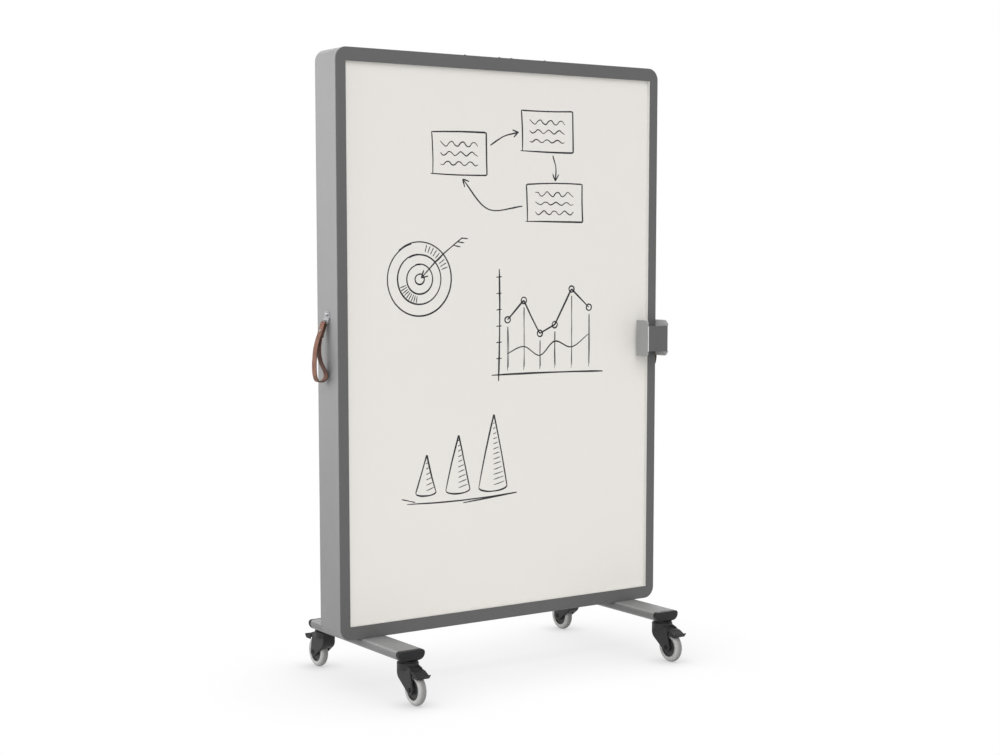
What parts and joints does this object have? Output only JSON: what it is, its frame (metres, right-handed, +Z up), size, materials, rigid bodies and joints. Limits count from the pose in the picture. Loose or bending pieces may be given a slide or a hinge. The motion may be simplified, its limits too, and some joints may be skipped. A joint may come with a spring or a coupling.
{
  "type": "mobile whiteboard wall",
  "caption": "Deep upright whiteboard case with writing surfaces on both faces, on flat feet with braked swivel casters, with leather side pulls and an open accessory holder.",
  "frame": {"origin": "on the floor below the middle of the case", "axes": "+Z up; +X to the right of someone facing the holder's side; the holder's face looks along -Y"},
  "size_m": [1.333, 0.712, 1.9662],
  "materials": {
    "grey_paint": "satin powder coat",
    "dark_grey_paint": "matt powder coat",
    "writing_enamel": "semi-gloss enamel",
    "fibreboard": "raw",
    "frame_steel": "galvanised",
    "zinc_steel": "zinc plated",
    "foot_metal": "satin grey powder coat",
    "bright_metal": "polished nickel",
    "brown_leather": "oiled, smooth grain",
    "black_plastic": "fine texture",
    "grey_tyre": "matt non-marking rubber"
  },
  "bodies": {
    "wall": {"outer_band": "grey_paint", "front_bezel": "dark_grey_paint", "rear_bezel": "dark_grey_paint", "front_writing_sheet": "writing_enamel", "rear_writing_sheet": "writing_enamel", "front_backing_board": "fibreboard", "rear_backing_board": "fibreboard", "left_side_upright": "frame_steel", "right_side_upright": "frame_steel", "left_centre_upright": "frame_steel", "right_centre_upright": "frame_steel", "top_rail": "frame_steel", "bottom_rail": "frame_steel", "bezel_screws": "zinc_steel", "left_foot": "foot_metal", "right_foot": "foot_metal", "foot_bolts": "zinc_steel", "foot_spacers": "frame_steel", "foot_nut_plates": "frame_steel", "swivel_bearings": "zinc_steel", "accessory_holder": "grey_paint", "holder_screws": "zinc_steel", "handle_screws": "bright_metal", "left_handle_plate": "bright_metal", "right_handle_plate": "bright_metal", "end_cap_front_left": "black_plastic", "caster_stem_front_left": "zinc_steel", "end_cap_back_left": "black_plastic", "caster_stem_back_left": "zinc_steel", "end_cap_front_right": "black_plastic", "caster_stem_front_right": "zinc_steel", "end_cap_back_right": "black_plastic", "caster_stem_back_right": "zinc_steel"},
    "swivel_front_left": {"fork_front_left": "black_plastic", "axle_front_left": "zinc_steel"},
    "wheel_front_left": {"wheel_hub_front_left": "black_plastic", "tyre_front_left": "grey_tyre"},
    "pedal_front_left": {"brake_pedal_front_left": "black_plastic"},
    "swivel_back_left": {"fork_back_left": "black_plastic", "axle_back_left": "zinc_steel"},
    "wheel_back_left": {"wheel_hub_back_left": "black_plastic", "tyre_back_left": "grey_tyre"},
    "pedal_back_left": {"brake_pedal_back_left": "black_plastic"},
    "swivel_front_right": {"fork_front_right": "black_plastic", "axle_front_right": "zinc_steel"},
    "wheel_front_right": {"wheel_hub_front_right": "black_plastic", "tyre_front_right": "grey_tyre"},
    "pedal_front_right": {"brake_pedal_front_right": "black_plastic"},
    "swivel_back_right": {"fork_back_right": "black_plastic", "axle_back_right": "zinc_steel"},
    "wheel_back_right": {"wheel_hub_back_right": "black_plastic", "tyre_back_right": "grey_tyre"},
    "pedal_back_right": {"brake_pedal_back_right": "black_plastic"},
    "strap_left": {"left_strap": "brown_leather", "left_strap_rivet": "bright_metal"},
    "strap_right": {"right_strap": "brown_leather", "right_strap_rivet": "bright_metal"}
  },
  "joints": [
    {"name": "swivel_front_left", "type": "hinge", "parent": "wall", "child": "swivel_front_left", "pos_m": [-0.497, -0.26, 0.1], "axis": [0, 0, 1], "continuous": true},
    {"name": "roll_front_left", "type": "hinge", "parent": "swivel_front_left", "child": "wheel_front_left", "pos_m": [-0.497, -0.303, 0.05], "axis": [1, 0, 0], "continuous": true},
    {"name": "brake_front_left", "type": "hinge", "parent": "swivel_front_left", "child": "pedal_front_left", "pos_m": [-0.497, -0.3005, 0.1095], "axis": [1, 0, 0], "range_deg": [0, 8]},
    {"name": "swivel_back_left", "type": "hinge", "parent": "wall", "child": "swivel_back_left", "pos_m": [-0.497, 0.26, 0.1], "axis": [0, 0, 1], "continuous": true},
    {"name": "roll_back_left", "type": "hinge", "parent": "swivel_back_left", "child": "wheel_back_left", "pos_m": [-0.497, 0.303, 0.05], "axis": [1, 0, 0], "continuous": true},
    {"name": "brake_back_left", "type": "hinge", "parent": "swivel_back_left", "child": "pedal_back_left", "pos_m": [-0.497, 0.3005, 0.1095], "axis": [-1, 0, 0], "range_deg": [0, 8]},
    {"name": "swivel_front_right", "type": "hinge", "parent": "wall", "child": "swivel_front_right", "pos_m": [0.497, -0.26, 0.1], "axis": [0, 0, 1], "continuous": true},
    {"name": "roll_front_right", "type": "hinge", "parent": "swivel_front_right", "child": "wheel_front_right", "pos_m": [0.497, -0.303, 0.05], "axis": [1, 0, 0], "continuous": true},
    {"name": "brake_front_right", "type": "hinge", "parent": "swivel_front_right", "child": "pedal_front_right", "pos_m": [0.497, -0.3005, 0.1095], "axis": [1, 0, 0], "range_deg": [0, 8]},
    {"name": "swivel_back_right", "type": "hinge", "parent": "wall", "child": "swivel_back_right", "pos_m": [0.497, 0.26, 0.1], "axis": [0, 0, 1], "continuous": true},
    {"name": "roll_back_right", "type": "hinge", "parent": "swivel_back_right", "child": "wheel_back_right", "pos_m": [0.497, 0.303, 0.05], "axis": [1, 0, 0], "continuous": true},
    {"name": "brake_back_right", "type": "hinge", "parent": "swivel_back_right", "child": "pedal_back_right", "pos_m": [0.497, 0.3005, 0.1095], "axis": [-1, 0, 0], "range_deg": [0, 8]},
    {"name": "strap_swing_left", "type": "hinge", "parent": "wall", "child": "strap_left", "pos_m": [-0.63, 0, 1.14], "axis": [0, 1, 0], "range_deg": [-1.5, 90]},
    {"name": "strap_swing_right", "type": "hinge", "parent": "wall", "child": "strap_right", "pos_m": [0.63, 0, 1.14], "axis": [0, -1, 0], "range_deg": [-1.5, 90]}
  ]
}
